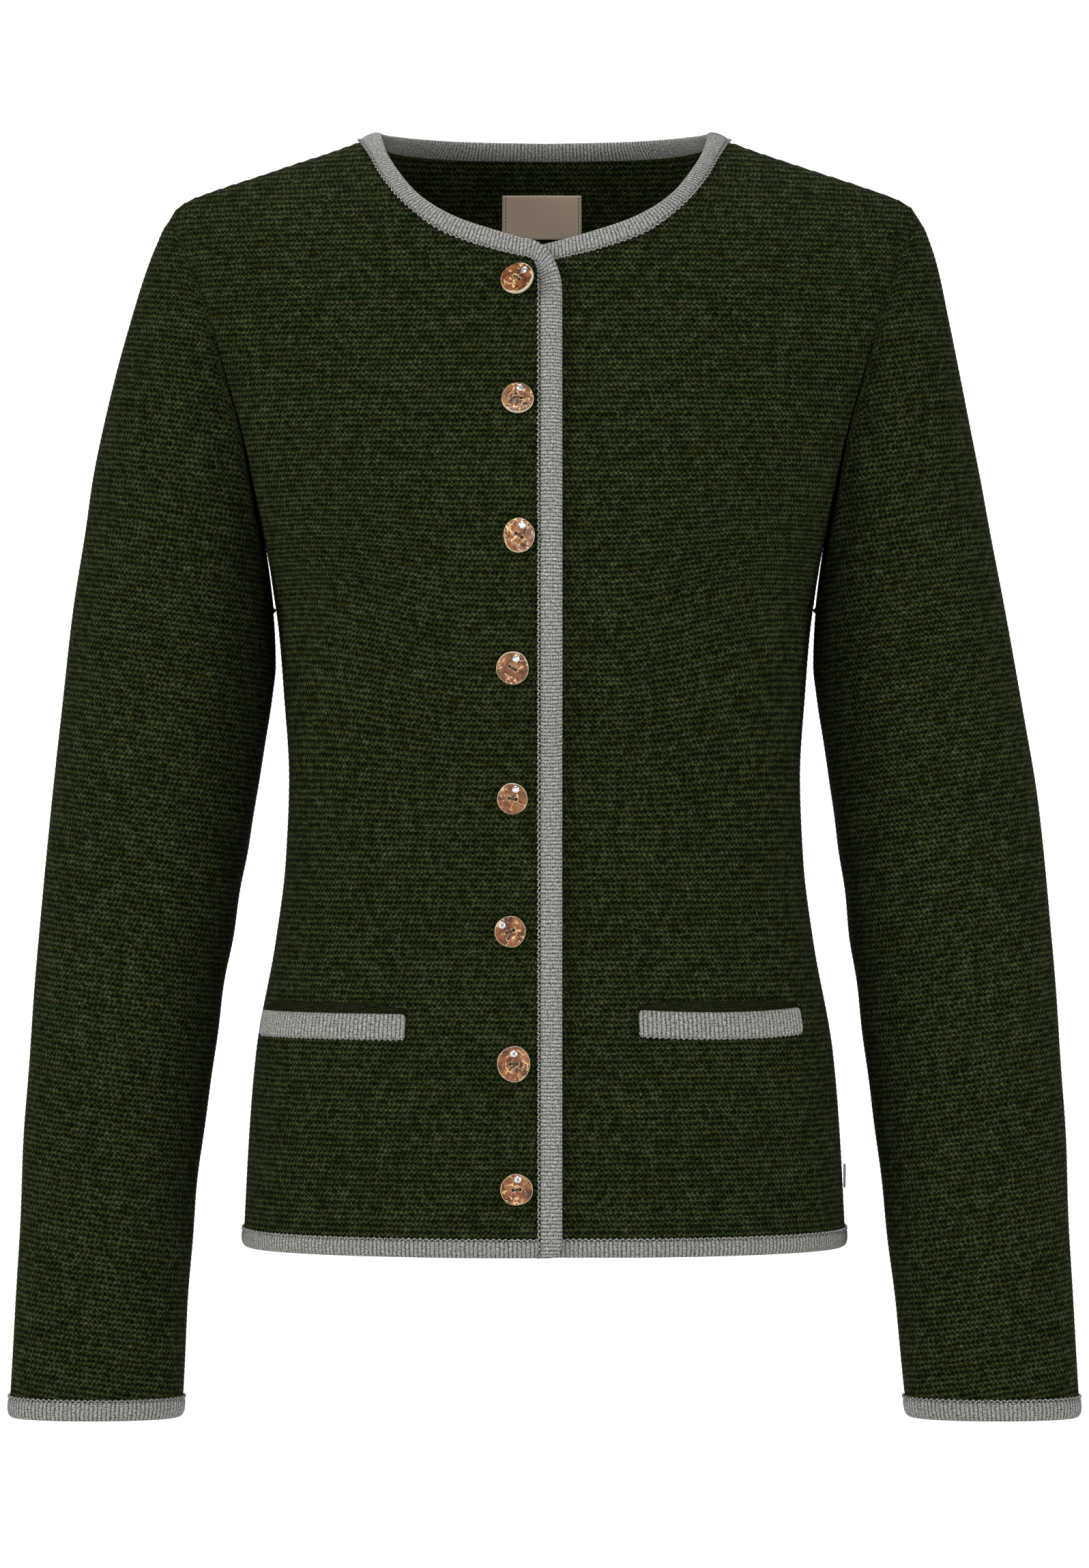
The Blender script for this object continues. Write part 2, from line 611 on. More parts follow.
# Edge band.
# A strip of grey heather jersey, knitted sideways so its ribs run across it, folded over the cloth's
# edge and linked on with a chain of loops. It goes up the right front, round the neck and down the
# left front, where it is hidden.

BAND_IN = 2.8           # how far in from the cloth's face the band's inner side lies
WALE = 1.9              # width of one rib of the jersey
WALE_STEPS = 4          # stations in a rib
WALE_RISE = 0.14        # how far a rib stands up
JERSEY_COURSE = 1.25    # length of one stitch along a rib
CHAIN_PITCH = 3.1       # length of one loop of the linking chain
CHAIN_YARN = 0.48       # radius of its yarn
CHAIN_OUT = 0.6         # how far its middle stands out of the cloth's face
HEM_CORNER = 7          # radius of the band's lower corner
NECK_TURN = 12          # height over which the band turns from the front edge to the neck
BAND_SECTION = table(
    "across out",
    (-0.02, -0.6), (0.06, -0.5), (0.13, -0.2), (0.18, 0.65), (0.3, 1.05), (0.5, 1.15), (0.7, 0.95),
    (0.84, 0.5), (0.93, -0.1), (0.98, -0.7), (1, -1.2), (0.975, -1.8), (0.9, -2.4),
    (0.78, -BAND_IN), (0.1, -BAND_IN), (0, -2))


def distances(path):
    """Distance travelled along a path to each of its points."""
    return np.concatenate([[0], np.cumsum(np.linalg.norm(np.diff(path, axis=0), axis=1))])


def strip_normals(seam, free, facing, closed=False):
    middle = seam + free
    along = np.gradient(middle, axis=0)
    if closed:
        along = np.roll(middle, -1, axis=0) - np.roll(middle, 1, axis=0)
    return unit(np.cross(along, free - seam)) * facing


def stations(seam, free, facing, step):
    """Even steps along a strip: its seam, its free edge, its normals and the distance travelled."""
    travelled = distances((seam + free) / 2)
    count = max(int(round(travelled[-1] / step)), 2)
    at = np.linspace(0, travelled[-1], count + 1)
    seam, free = (np.stack([np.interp(at, travelled, part[:, k]) for k in range(3)], -1)
                  for part in (seam, free))
    return seam, free, strip_normals(seam, free, facing), at


def ring_numbers(rings, sides, first=0):
    """Point numbers of a stack of rings, and of each point's neighbour in its ring."""
    ids = first + np.arange(rings * sides).reshape(rings, sides)
    return ids, np.roll(ids, -1, axis=1)


def strip_mesh(name, seam, free, normal, at, section, wale, rise=WALE_RISE, closed=False):
    """Sweeps a closed section along stations, its outer side raised in ribs that run across it."""
    rib = rise * (np.abs(np.sin(math.pi * at / wale)) - 0.5)
    lifted = section["out"][None, :] + rib[:, None] * np.where(section["out"] > -2, 1, 0.3)
    across = section["across"][None, :, None]
    vertices = seam[:, None] + (free - seam)[:, None] * across + normal[:, None] * lifted[..., None]
    edge = distances(np.stack([section["across"] * 12, section["out"]], -1))
    ids, around = ring_numbers(len(seam), len(edge))
    if closed:
        faces = quads(ids, around, np.roll(around, -1, axis=0), np.roll(ids, -1, axis=0))
    else:
        faces = quads(ids[:-1], around[:-1], around[1:], ids[1:])
        faces += [ids[0].tolist(), ids[-1][::-1].tolist()]
    flat = np.stack(np.broadcast_arrays(at[:, None], edge[None, :]), -1)
    return made_mesh(name, vertices.reshape(-1, 3), faces, flat.reshape(-1, 2))


def heather_jersey(name, light, middle, wale):
    """Grey heather jersey, its undyed and charcoal fibres spun together. Matt ribs lie side by side,
    each a column of small stitches, with dark dots between the stitches."""
    finish = Finish(name)
    maths = finish.maths
    place = finish.on_cloth()
    moved = finish.moved(place, finish.noise(place, 0.4, "Color", Detail=3.0), (1.3, 1.9, 0.0))
    split = finish.add("SeparateXYZ", {0: moved}).outputs
    leg = maths("SUBTRACT", maths("FRACT", maths("DIVIDE", split["X"], wale)), 0.5)
    courses = maths("DIVIDE", split["Y"], JERSEY_COURSE)
    slanted = maths("MULTIPLY_ADD", maths("ABSOLUTE", leg), 1.5, courses)
    course = maths("SUBTRACT", maths("FRACT", slanted), 0.5)
    hollow = maths("MULTIPLY", maths("MULTIPLY", course, course), 2.2)
    rib = maths("MULTIPLY_ADD", maths("MULTIPLY", leg, leg), -3.0, 1.0)
    height = maths("MAXIMUM", maths("SUBTRACT", rib, hollow), 0.0)
    fibre = finish.noise(moved, 0.8, Detail=4.0, Roughness=0.8)
    mixed = finish.mix(finish.ranged(fibre, 0.38, 0.62), middle, light)
    colour = finish.mix(finish.ranged(height, 0.0, 0.75), "#232421", mixed)
    shine = {"Roughness": 0.95, "IOR": 1.45, "Specular IOR Level": 0.06}
    return finish.done(colour, shine, (0.9, 0.4, height))


grey_jersey = heather_jersey("grey_heather_jersey", "#bcbcb6", "#6a6b65", WALE)


def tube_mesh(name, path, radius, sides=6):
    """A round yarn along a path of points."""
    along = unit(np.gradient(path, axis=0))
    side = unit(np.cross(along, (0.31, 0.17, 0.94)))
    other = np.cross(along, side)
    turn = np.arange(sides) * 2 * math.pi / sides
    ring = side[:, None] * np.cos(turn)[:, None] + other[:, None] * np.sin(turn)[:, None]
    ids, around = ring_numbers(len(path), sides)
    faces = quads(ids[:-1], ids[1:], around[1:], around[:-1])
    faces += [ids[0][::-1].tolist(), ids[-1].tolist()]
    flat = np.stack(np.broadcast_arrays(distances(path)[:, None], 0.4 * turn[None, :]), -1)
    return made_mesh(name, (path[:, None] + ring * radius).reshape(-1, 3), faces, flat.reshape(-1, 2))


def linking_chain(name, seam, free, normal, at, out=CHAIN_OUT, inward=0.95):
    """The chain of loops that links a band to the cloth, seen as a scalloped edge along the seam."""
    turn = 2 * math.pi * at / CHAIN_PITCH
    wave = np.sin(turn + 0.6 * np.sin(turn))
    hop = np.abs(np.cos(math.pi * at / CHAIN_PITCH))
    path = seam + unit(free - seam) * (inward - 0.5 * wave)[:, None]
    mesh = tube_mesh(name, path + normal * (out + 0.3 * hop)[:, None], CHAIN_YARN)
    return finish_mesh(name, mesh, grey_jersey, "grey_jersey")


def front_point(x, z, side):
    return front_surface(side)(angle_at(x, z, "front"), z)


def front_band_edges(side):
    """Seam and free edge of a front band, from its rounded lower corner to the shoulder."""
    seam_x, free_x = FRONT_EDGE[side]
    neck = {key: through(FRONT_NECK, "at", key) for key in FRONT_NECK if key != "at"}
    end = (seam_x + CORNER) / NECK_SEAM_X
    end_x, end_z = neck["seam_x"](end), neck["seam_z"](end)
    corner_z = end_z - CORNER
    turn_z = corner_z - NECK_TURN
    up = np.array([0, 0.4, 1.2, 2.5, 4.2, 7])
    rounded = HEM_CORNER - np.sqrt(HEM_CORNER ** 2 - (HEM_CORNER - up) ** 2)
    z = np.concatenate([HEM_EDGE_Z + up, np.linspace(HEM_EDGE_Z + 9, turn_z, 200)])
    t = np.linspace(0, 1, 40)[1:]
    turn, bend = t * math.pi / 2, np.clip(2 * t - 1, 0, 1) * math.pi / 2
    up_to_corner, past_corner = lerp(turn_z, corner_z, 2 * t), lerp(corner_z, end_z, np.sin(bend))
    at = np.linspace(end, 1, 120)[1:]
    seam = front_point(
        np.concatenate([seam_x + 0 * z, lerp(seam_x, end_x, 1 - np.cos(bend)), neck["seam_x"](at)]),
        np.concatenate([z, np.where(t < 0.5, up_to_corner, past_corner), neck["seam_z"](at)]), side)
    free = front_point(
        np.concatenate([free_x + 0.9 * rounded, free_x + np.zeros(200),
                        lerp(neck["free_x"](end), free_x, np.cos(turn)), neck["free_x"](at)]),
        np.concatenate([z, lerp(turn_z, neck["free_z"](end), np.sin(turn)), neck["free_z"](at)]), side)
    return seam, free


def back_neck_edge(edge):
    """One edge of the band round the back of the neck, from the right shoulder to the left."""
    across = np.linspace(-1, 1, 160)[1:-1]
    x, z = (through(BACK_NECK, "at", f"{edge}_{axis}")(np.abs(across)) for axis in "xz")
    return back_surface(angle_at(np.sign(across) * x, z, "back"), z)


def all_round(right, back, left):
    """The edges of a strip that runs from the right front round the back to the left front."""
    return [np.concatenate([r, b, l[::-1]]) for r, b, l in zip(right, back, left)]


seam, free = all_round(front_band_edges("right"), map(back_neck_edge, ("seam", "free")),
                       front_band_edges("left"))
strip = stations(seam, free, -1, WALE / WALE_STEPS)
mesh = strip_mesh("edge_band", *strip, BAND_SECTION, WALE)
edge_band = finish_mesh("edge_band", mesh, grey_jersey, "grey_jersey",
                        "band_front_right", "band_neck", "band_front_left")
chain = linking_chain("edge_band_chain", *strip)


# Hem band.
# The same jersey, folded and linked round the lower edge, with its ribs upright.

HEM_WALE = 2.2
hem_jersey = heather_jersey("grey_heather_jersey_wide", "#b6b6b0", "#656660", HEM_WALE)


def hem_front(side):
    start = angle_at(np.array([FRONT_EDGE[side][0] - 0.6]), HEM_SEAM_Z, "front")[0]
    out = np.linspace(start, math.pi / 2, 120)
    return [front_surface(side)(out, z + 0 * out) for z in (HEM_SEAM_Z, HEM_EDGE_Z)]


out = np.linspace(-math.pi / 2, math.pi / 2, 240)[1:-1]
hem_back = [back_surface(out, z + 0 * out) for z in (HEM_SEAM_Z, HEM_EDGE_Z)]
seam, free = all_round(hem_front("right"), hem_back, hem_front("left"))
strip = stations(seam, free, 1, HEM_WALE / WALE_STEPS)
mesh = strip_mesh("jersey_hem_band", *strip, BAND_SECTION, HEM_WALE)
hem_band = finish_mesh("jersey_hem_band", mesh, hem_jersey, "grey_jersey", "hem_band")
chain = linking_chain("hem_band_chain", *strip)


# Cuff bands.
# A folded jersey band round each wrist, with upright ribs, closed into a ring.

for side in ("right", "left"):
    surface = sleeve_surface(side)
    turn = np.linspace(0, 2 * math.pi, 241)[:-1] - math.pi
    edges = [surface(place + 0 * turn, turn) for place in (CUFF_STATION, CUFF_STATION + 1)]
    seam, free = (np.vstack([edge, edge[:1]]) for edge in edges)
    seam, free, _, at = stations(seam, free, SIGN[side], HEM_WALE / WALE_STEPS)
    at = at * round(at[-1] / HEM_WALE) * HEM_WALE / at[-1]
    normal = strip_normals(seam[:-1], free[:-1], SIGN[side], closed=True)
    mesh = strip_mesh(f"jersey_cuff_{side}", seam[:-1], free[:-1], normal, at[:-1], BAND_SECTION,
                      HEM_WALE, closed=True)
    cuff = finish_mesh(f"jersey_cuff_{side}", mesh, hem_jersey, "grey_jersey", f"cuff_{side}")
    chain = linking_chain(f"cuff_chain_{side}", seam, free, np.vstack([normal, normal[:1]]), at)


# Pocket welts and the pocket bags' edges.
# Each pocket mouth is finished with a folded strip of the grey jersey. Behind it the pocket bag, in a
# fine green rib, shows as a narrow dark strip.

WELTS = {               # rise is how far the ends of a strip stand above its middle
    "right": {"start": 70.6, "length": 102, "top": -456.3, "bottom": -469.2, "rise": 0},
    "left": {"start": 48, "length": 94, "top": -455.6, "bottom": -469, "rise": 1.6},
}
WELT_THICK = 2.2
WELT_WALE = 2.3
POCKET_EDGE = 5.5       # height of the bag's edge above the welt
POCKET_THICK = 0.9
POCKET_WALE = 1.2
POCKET_COURSE = 1.6
WELT_SECTION = table("across out", (0, -0.2), (0, 0.55), (0.03, 0.85), (0.1, 1), (0.5, 1.05), (0.9, 1),
                     (0.97, 0.85), (1, 0.55), (1, -0.2))
welt_jersey = heather_jersey("grey_heather_jersey_welt", "#b6b6b0", "#656660", WELT_WALE)
pocket_rib = purl_knit("green_fine_rib", ("#262f18", "#4d5438", "#243218", "#343611"), "#040502",
                       POCKET_COURSE, POCKET_WALE)


def welt_edges(side, top, bottom, inset, droop=0):
    """Upper and lower edge of a strip on a front, by distance travelled round the body. Its corners
    are rounded by the inset, and its top drops by the droop at both ends."""
    welt = WELTS[side]
    middle = (welt["top"] + welt["bottom"]) / 2
    angle = np.linspace(angle_at(np.array([welt["start"]]), middle, "front")[0], 1.9, 900)

    def place(z):
        ahead = body_surface(np.minimum(angle, math.pi / 2), z, "front")
        behind = back_surface(np.minimum(angle, math.pi - angle), z)
        return lapped(np.where((angle > math.pi / 2)[:, None], behind, ahead), side)
    travelled = distances(place(middle + 0 * angle))
    t = travelled / welt["length"]
    kept = t <= 1
    lift = welt["rise"] * (2 * t - 1) ** 2
    to_end = np.minimum(travelled, welt["length"] - travelled)
    rounded = inset * (1 - np.sqrt(np.clip(1 - (1 - np.clip(to_end / inset, 0, 1)) ** 2, 0, 1)))
    upper = top + lift - rounded - droop * smoothstep(16, 0, to_end)
    return place(upper)[kept], place(bottom + lift + rounded)[kept]


for side in ("right", "left"):
    top, bottom, length = (WELTS[side][key] for key in ("top", "bottom", "length"))
    edges = welt_edges(side, top, bottom, 2)
    seam, free, normal, at = stations(*edges, -SIGN[side], WELT_WALE / WALE_STEPS)
    section = dict(WELT_SECTION, out=WELT_SECTION["out"] * WELT_THICK + 0.3)
    mesh = strip_mesh(f"jersey_welt_{side}", seam, free, normal, at, section, WELT_WALE, 0.3)
    welt = finish_mesh(f"jersey_welt_{side}", mesh, welt_jersey, "grey_jersey", f"pocket_welt_{side}")
    chain = linking_chain(f"pocket_welt_chain_{side}", free, seam, normal, at, 0.9, 0.1)

    edges = welt_edges(side, top + POCKET_EDGE, top - 0.5, 1.2, 3.4)
    strip = stations(*edges, -SIGN[side], POCKET_WALE / 2)
    section = dict(WELT_SECTION, out=WELT_SECTION["out"] * POCKET_THICK + 0.3)
    mesh = strip_mesh(f"rib_pocket_bag_{side}", *strip, section, POCKET_WALE, 0.15)
    bag = finish_mesh(f"rib_pocket_bag_{side}", mesh, pocket_rib, "green_rib", f"pocket_bag_{side}")


# Buttons.
# Eight slices of stag horn, polished, each with its own mottle, pale veins and a paler rim where the
# outer skin of the horn shows. Two holes, sewn with taupe thread, and one small set stone near the top.

BUTTONS = table(
    "x z wide tall off lean turn holes stone",
    (-11.9, -85.9, 17.4, 17.4, 4.4, 9, -22, 32, 41), (-13.5, -146, 16.2, 16.2, 1.2, 3, 0, 3, 13),
    (-12.8, -215.2, 15.6, 17.6, 0.6, 0, 0, 34, 18), (-16, -280.8, 16.2, 16.9, 0.8, 0, 0, 30, 19),
    (-16.2, -346.6, 15.3, 16, 0.6, 0, 0, 13, 19), (-17.3, -414.2, 15.7, 15.8, 0.6, 0, 0, -22, -51),
    (-15.5, -481.1, 16.6, 18.2, 0.6, 0, 0, 0, 1), (-14.1, -544.4, 16.4, 15.8, 0.6, 0, 0, -4, 7))
BUTTON_THICK = 2.8
BUTTON_RINGS = 30
BUTTON_SPOKES = 80
HOLE_RADIUS = 0.95
HOLES_APART = 3.5
THREAD_RADIUS = 0.26
SHANK_RADIUS = 1.2
STONE_RADIUS = 1.85
STONE_FROM_MIDDLE = 5.3
STONE_CUT = ((1.0, 0, 0), (1.0, 0.225, 0), (0.86, 0.54, 0.5), (0.5, 0.9, 0))    # radius, height, turn
random = np.random.default_rng(7)


def stag_horn():
    """Polished stag horn. Rust brown, clouded darker and here and there grey and translucent, with
    thin gold veins, a thin gold line at the edge of the face and a pale edge. A soft, bright gloss."""
    finish = Finish("polished_stag_horn")
    maths, noise, ranged = finish.maths, finish.noise, finish.ranged
    here = finish.in_piece()
    out = finish.add("SeparateXYZ", {0: finish.on_cloth()}).outputs["X"]
    moved = finish.moved(here, noise(here, 240.0, "Color", Detail=3.0), (0.006, 0.006, 0.006))
    clouds = noise(moved, 210.0, Detail=5.0, Roughness=0.65)
    brown = finish.add("ValToRGB", {0: clouds})
    stops = brown.color_ramp.elements
    stops[0].position, stops[0].color = 0.34, linear("#331809")
    stops[1].position, stops[1].color = 0.72, linear("#93745a")
    for position, colour in ((0.44, "#5d3014"), (0.53, "#814b1f"), (0.62, "#8f5e31")):
        stops.new(position).color = linear(colour)
    cracks = finish.add("TexVoronoi", {"Vector": moved, "Scale": 170.0}, feature="DISTANCE_TO_EDGE")
    vein = ranged(cracks.outputs[0], 0.045, 0.012)
    veined = maths("MULTIPLY", vein, ranged(noise(here, 150.0), 0.5, 0.56))
    golden = ranged(noise(moved, 420.0, Detail=1.0), 0.66, 0.71)
    colour = finish.mix(maths("MAXIMUM", veined, golden), brown.outputs[0], "#e6c08c")
    ring = maths("MULTIPLY_ADD", maths("SUBTRACT", clouds, 0.5), 0.1, out)
    colour = finish.mix(ranged(ring, 0.955, 0.985), colour, "#c9a878")
    colour = finish.mix(ranged(out, 1.02, 1.1), colour, "#cfc7ac")
    shine = {"Roughness": 0.3, "IOR": 1.54, "Coat Weight": 0.1, "Coat Roughness": 0.1}
    return finish.done(colour, shine, (0.5, 0.35, clouds))


def plain(name, colour, roughness, **shine):
    """A finish with a faint mottle in its colour and its polish, as wear leaves it."""
    finish = Finish(name)
    mottle = finish.noise(finish.in_piece(), 900.0)
    tone = finish.ranged(mottle, 0.0, 1.0, 0.85, 1.1)
    shade = finish.add("VectorMath", {0: linear(colour)[:3], "Scale": tone}, operation="SCALE")
    rough = finish.ranged(mottle, 0.0, 1.0, roughness * 0.8, min(roughness * 1.2, 1))
    return finish.done(shade.outputs[0], {"Roughness": rough, **shine})


horn = stag_horn()
sewing_thread = plain("taupe_sewing_thread", "#3f352b", 0.8, IOR=1.5)
cut_glass = plain("foil_backed_cut_glass", "#dfe4ea", 0.06, IOR=1.58, Metallic=0.75)


def turning(tilt, turn):
    """Turns a piece made face up to face forwards and then to one side."""
    c, s = math.cos(tilt), math.sin(tilt)
    forwards = np.array([[1, 0, 0], [0, c, -s], [0, s, c]])
    c, s = math.cos(turn), math.sin(turn)
    return np.array([[c, -s, 0], [s, c, 0], [0, 0, 1]]) @ forwards


def clockwise(x, y, degrees):
    angle = math.radians(degrees)
    return (x * math.cos(angle) + y * math.sin(angle), y * math.cos(angle) - x * math.sin(angle))


def disc_mesh(name, wide, tall, holes, place):
    """One horn slice: a slightly uneven oval with a worn top, a rounded rim and two sewing holes.
    Its UV says how far out a point is, 1 at the rim of the face and more on the side."""
    thick = BUTTON_THICK
    turn = np.arange(BUTTON_SPOKES) * 2 * math.pi / BUTTON_SPOKES
    uneven = (1 + 0.012 * np.cos(3 * turn + random.uniform(0, 6))
              + 0.008 * np.cos(5 * turn + random.uniform(0, 6)))
    radius = np.concatenate([np.linspace(0, 1, BUTTON_RINGS)[1:] * 0.93,
                             [0.965, 0.99, 1.0, 0.985, 0.95, 0.5]])[:, None]
    level = np.concatenate([np.full(BUTTON_RINGS - 1, thick),
                            [thick - 0.12, thick - 0.4, thick - 1.2, 0.5, 0.05, 0]])[:, None]
    x = radius * np.cos(turn) * wide / 2 * uneven
    y = radius * np.sin(turn) * tall / 2 * uneven
    top = level >= thick - 0.2
    worn = 0.09 * np.cos(x * 0.9 + 1.3 * y) + 0.07 * np.cos(1.7 * x - y + random.uniform(0, 6))
    dished = worn * (1 - radius ** 4) - 0.35 * (1 - radius ** 2)
    ends = [clockwise(way * HOLES_APART / 2, 0, holes) for way in (-1, 1)]
    to_hole = np.min([np.hypot(x - hole_x, y - hole_y) for hole_x, hole_y in ends], axis=0)
    sunk = 2.2 * smoothstep(HOLE_RADIUS + 0.15, HOLE_RADIUS - 0.35, to_hole)
    z = level + np.where(top, dished, 0) - np.where(top, sunk, 0)
    vertices = np.concatenate([[[0, 0, thick - 0.35]], points(x, y, z).reshape(-1, 3), [[0, 0, 0]]])
    ids, after = ring_numbers(len(radius), BUTTON_SPOKES, 1)
    faces = quads(ids[:-1], ids[1:], after[1:], after[:-1])
    faces += np.stack([0 * ids[0], ids[0], after[0]], -1).tolist()
    faces += np.stack([0 * ids[0] + len(vertices) - 1, after[-1], ids[-1]], -1).tolist()
    near_hole = (to_hole > HOLE_RADIUS - 0.2) & (to_hole < HOLE_RADIUS + 0.4)
    out = np.where(top & near_hole, 0.99, np.where(level < thick - 0.3, 1.2, radius) + 0 * x)
    out = np.concatenate([[0], out.ravel(), [1.2]])
    return made_mesh(name, place(vertices), faces, np.stack([out, 0 * out], -1))


def turned_mesh(name, profile, sides, wide, tall, place):
    """A solid with flat ends, swept round its axis from rings of radius, height and turn."""
    turn = np.arange(sides) * 2 * math.pi / sides
    vertices = np.concatenate([
        points(wide * r * np.cos(turn + shift * math.pi / sides),
               tall * r * np.sin(turn + shift * math.pi / sides), h) for r, h, shift in profile])
    ids, after = ring_numbers(len(profile), sides)
    faces = quads(ids[:-1], after[:-1], after[1:], ids[1:])
    faces += [ids[0][::-1].tolist(), ids[-1].tolist()]
    return made_mesh(name, place(vertices), faces)


for i, row in enumerate(zip(*BUTTONS.values()), 1):
    x, z, wide, tall, off, lean, turn, holes, stone_at = row
    above, seat, below = front_point(np.full(3, -x), np.array([z + 1, z, z - 1]), "right")
    slope = math.atan2(above[1] - below[1], 2)
    turned = turning(math.pi / 2 - slope - math.radians(lean), math.radians(turn))
    outward = turned @ np.array([0, 0, 1.0])
    stone_middle = np.array([*clockwise(0, STONE_FROM_MIDDLE, stone_at), BUTTON_THICK - 0.1])

    def place(vertices):
        return vertices @ turned.T + seat + outward * off
    disc = disc_mesh(f"button_{i}", wide, tall, holes, place)
    finish_mesh(f"horn_button_{i}", disc, horn, "horn", f"button_{i}")
    stone = turned_mesh(f"stone_{i}", STONE_CUT, 10, STONE_RADIUS, STONE_RADIUS,
                        lambda vertices: place(vertices + stone_middle))
    stone = finish_mesh(f"glass_stone_{i}", stone, cut_glass, "cut_glass", f"stone_{i}")
    stone.data.shade_flat()

    sag = np.linspace(-1, 1, 13)
    for strand, aside in enumerate((-0.42, 0, 0.42), 1):
        name = f"button_thread_{i}_{strand}"
        x, y = clockwise(sag * HOLES_APART / 2, aside * np.cos(sag * 1.2), holes)
        path = place(points(x, y, BUTTON_THICK - 0.3 - 0.9 * np.abs(sag) ** 6))
        finish_mesh(name, tube_mesh(name, path, THREAD_RADIUS), sewing_thread, "green_rib")
    path = np.linspace(seat - outward * 0.5, seat + outward * off, 4)
    shank = tube_mesh(f"button_shank_{i}", path, SHANK_RADIUS, 10)
    finish_mesh(f"button_shank_{i}", shank, sewing_thread, "green_rib")


# Neck label.
# A beige satin-woven label, its short ends folded under and stitched down. It is left bare.

LABEL = {"left": -22.6, "wide": 42.4, "bottom": -49.5, "tall": 23.5, "thick": 0.8}
LABEL_STITCH = 2.1      # from one stitch to the next
STITCH_LONG = 1.2
STITCH_RADIUS = 0.16


def woven_satin():
    """Polyester satin weave: fine close threads, with a slight silky gloss along them."""
    finish = Finish("beige_woven_satin")
    place = finish.on_cloth()
    threads = finish.add("TexWave", {"Vector": place, "Scale": 0.9, "Distortion": 0.6},
                         bands_direction="Y").outputs[1]
    grain = finish.noise(place, 2.5, Detail=3.0)
    colour = finish.mix(finish.maths("MULTIPLY", threads, grain), "#bfa892", "#e3cfba")
    shine = {"Roughness": 0.55, "IOR": 1.5, "Sheen Weight": 0.2}
    return finish.done(colour, shine, (0.4, 0.1, threads))


def back_inside(x, z, depth):
    """A point inside the back, a depth in from its outer face."""
    angle = angle_at(x, z, "back")
    return back_surface(angle, z) - normals_of(back_surface, angle, z, -1) * depth[..., None]


u, v = np.meshgrid(np.linspace(0, 1, 43), np.linspace(0, 1, 25), indexing="ij")
label_x = LABEL["left"] + LABEL["wide"] * u
label_z = LABEL["bottom"] + LABEL["tall"] * v
end = np.minimum(u, 1 - u) * LABEL["wide"]
puff = 0.35 * (1 - bell(end, 0, 3)) + 0.25 * np.sin(math.pi * v)
near = back_inside(label_x, label_z, WALL + 0.6 + LABEL["thick"] * 0.7 + 0.5 * puff)
far = back_inside(label_x, label_z, WALL + 0.6 + 0 * u)
flat = np.stack([u * LABEL["wide"], v * LABEL["tall"]], -1)
mesh = cloth_mesh("woven_label", near, far, flat, False)
label = finish_mesh("woven_label", mesh, woven_satin(), "woven_label", "label")
label_thread = plain("brown_label_thread", "#5d4638", 0.6, IOR=1.5)
for k, edge in enumerate((1.8, 40.6)):
    for j in range(11):
        name = f"label_stitch_{k}_{j}"
        level = LABEL["bottom"] + 0.5 + j * LABEL_STITCH
        z = np.linspace(level, level + STITCH_LONG, 6)
        lift = WALL + 1.5 + 0.12 * np.sin(np.linspace(0, math.pi, 6))
        path = back_inside(LABEL["left"] + edge + 0 * z, z, lift)
        finish_mesh(name, tube_mesh(name, path, STITCH_RADIUS, 5), label_thread, "woven_label")


# Badge.
# A small plain oval plate of pressed steel, pinned into the side seam above the hem.

BADGE = {"z": -543, "tall": 12.8, "wide": 9, "from_side": 7}
BADGE_PROFILE = ((1.0, 0), (1.0, 0.8), (0.96, 1.1), (0.88, 1.2), (0.8, 0.95), (0.3, 0.95))
badge_steel = plain("satin_pressed_steel", "#a9abad", 0.32, Metallic=1.0)
angle = math.pi / 2 - BADGE["from_side"] / half_width(BADGE["z"])
before, seat, past = body_surface(angle + np.array([0.02, 0, -0.02]), np.full(3, float(BADGE["z"])),
                                  "front")
ahead = past - before
outward = np.array([-ahead[1], ahead[0], 0]) / math.hypot(ahead[0], ahead[1])
upright = np.array([0, 0, 1.0])
basis = np.stack([np.cross(upright, outward), upright, outward], 1)
mesh = turned_mesh("badge", [(*ring, 0) for ring in BADGE_PROFILE], 40, BADGE["wide"] / 2,
                   BADGE["tall"] / 2, lambda vertices: vertices @ basis.T + seat + outward * 0.6)
finish_mesh("steel_badge", mesh, badge_steel, "badge_metal", "badge")


# Studio.
# A white sweep of paper below and behind, and a faint white sky. Soft lights stand on both sides, in
# front and above, and one shines on the paper. The camera looks straight at the cardigan's middle.

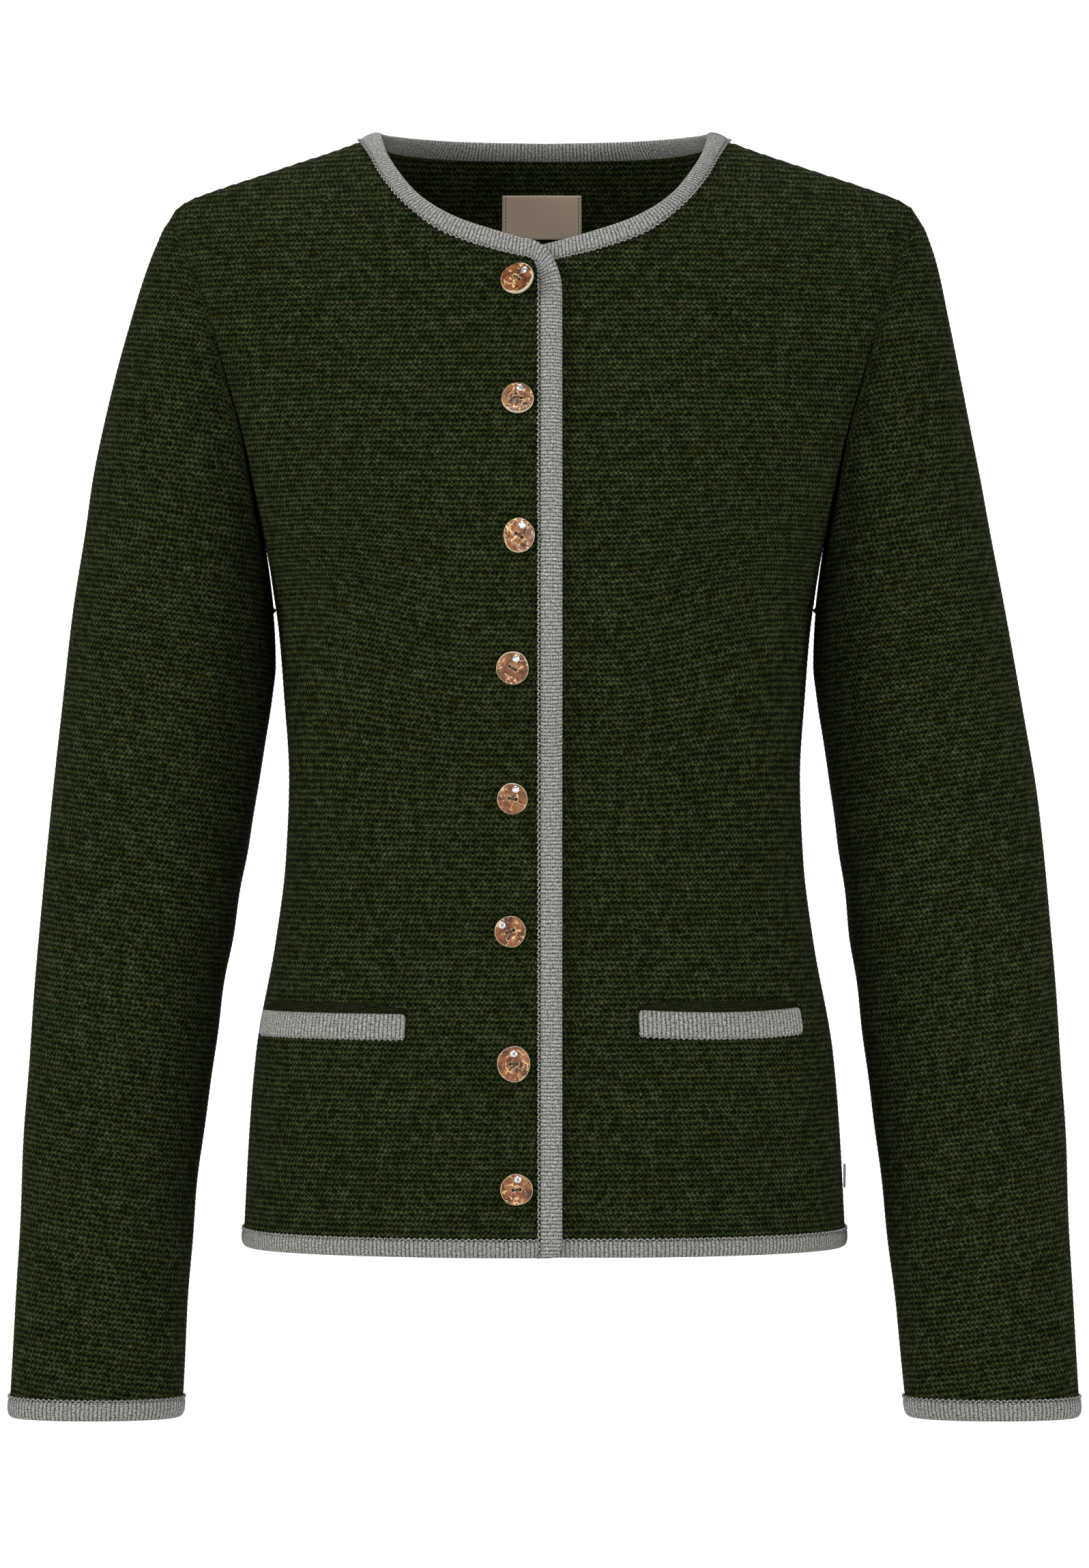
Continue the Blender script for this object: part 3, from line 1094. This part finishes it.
CAMERA_HEIGHT = -0.3396
CAMERA_AWAY = 3.5
VIEW_TALL = 2299 * 0.355 * MM
SENSOR = 36.0
FLOOR_Z = -0.8
SWEEP_START, SWEEP_RADIUS = 1.2, 1.2
sweep = [(-6.0, FLOOR_Z), (SWEEP_START, FLOOR_Z)]
for i in range(1, 13):
    bend = i / 12 * math.pi / 2
    sweep.append((SWEEP_START + SWEEP_RADIUS * math.sin(bend),
                  FLOOR_Z + SWEEP_RADIUS * (1 - math.cos(bend))))
sweep.append((SWEEP_START + SWEEP_RADIUS, 4.0))
vertices = [(way * (6 if z == FLOOR_Z else 1.5), y, z) for y, z in sweep for way in (-1, 1)]
faces = [(2 * i, 2 * i + 1, 2 * i + 3, 2 * i + 2) for i in range(len(sweep) - 1)]
paper = bpy.data.meshes.new("studio_paper")
paper.from_pydata(vertices, [], faces)
paper.materials.append(plain("matt_white_paper", "#fcfcfb", 0.9))
paper.shade_smooth()
placed("studio_paper", paper)

for name, position, size, power in (
        ("left_light", (-2.8, -1.7, 0.6), 1.1, 64), ("right_light", (2.8, -1.5, 0.3), 1.1, 46),
        ("front_light", (-0.5, -3.5, 0.9), 1.1, 25), ("top_light", (0, -1.5, 2.3), 1.0, 19),
        ("paper_light", (0, 1.0, 2.6), 1.6, 70)):
    lamp = bpy.data.lights.new(name, "AREA")
    lamp.size = size
    lamp.energy = power
    holder = placed(name, lamp)
    holder.location = position
    away = np.array(position) - np.array([0, 0, CAMERA_HEIGHT])
    holder.rotation_euler = (math.acos(away[2] / np.linalg.norm(away)), 0,
                             math.atan2(away[1], away[0]) + math.pi / 2)
sky = bpy.data.worlds.new("studio_sky")
sky.use_nodes = True
glow = sky.node_tree.nodes["Background"].inputs
glow[0].default_value, glow[1].default_value = linear("#ffffff"), 0.16
bpy.context.scene.world = sky
bpy.context.scene.view_settings.view_transform = "Standard"

lens = bpy.data.cameras.new("camera")
lens.sensor_width = SENSOR
lens.lens = SENSOR * CAMERA_AWAY / VIEW_TALL
camera = placed("camera", lens)
camera.location = (0, -CAMERA_AWAY, CAMERA_HEIGHT)
camera.rotation_euler = (math.pi / 2, 0, 0)
bpy.context.scene.camera = camera
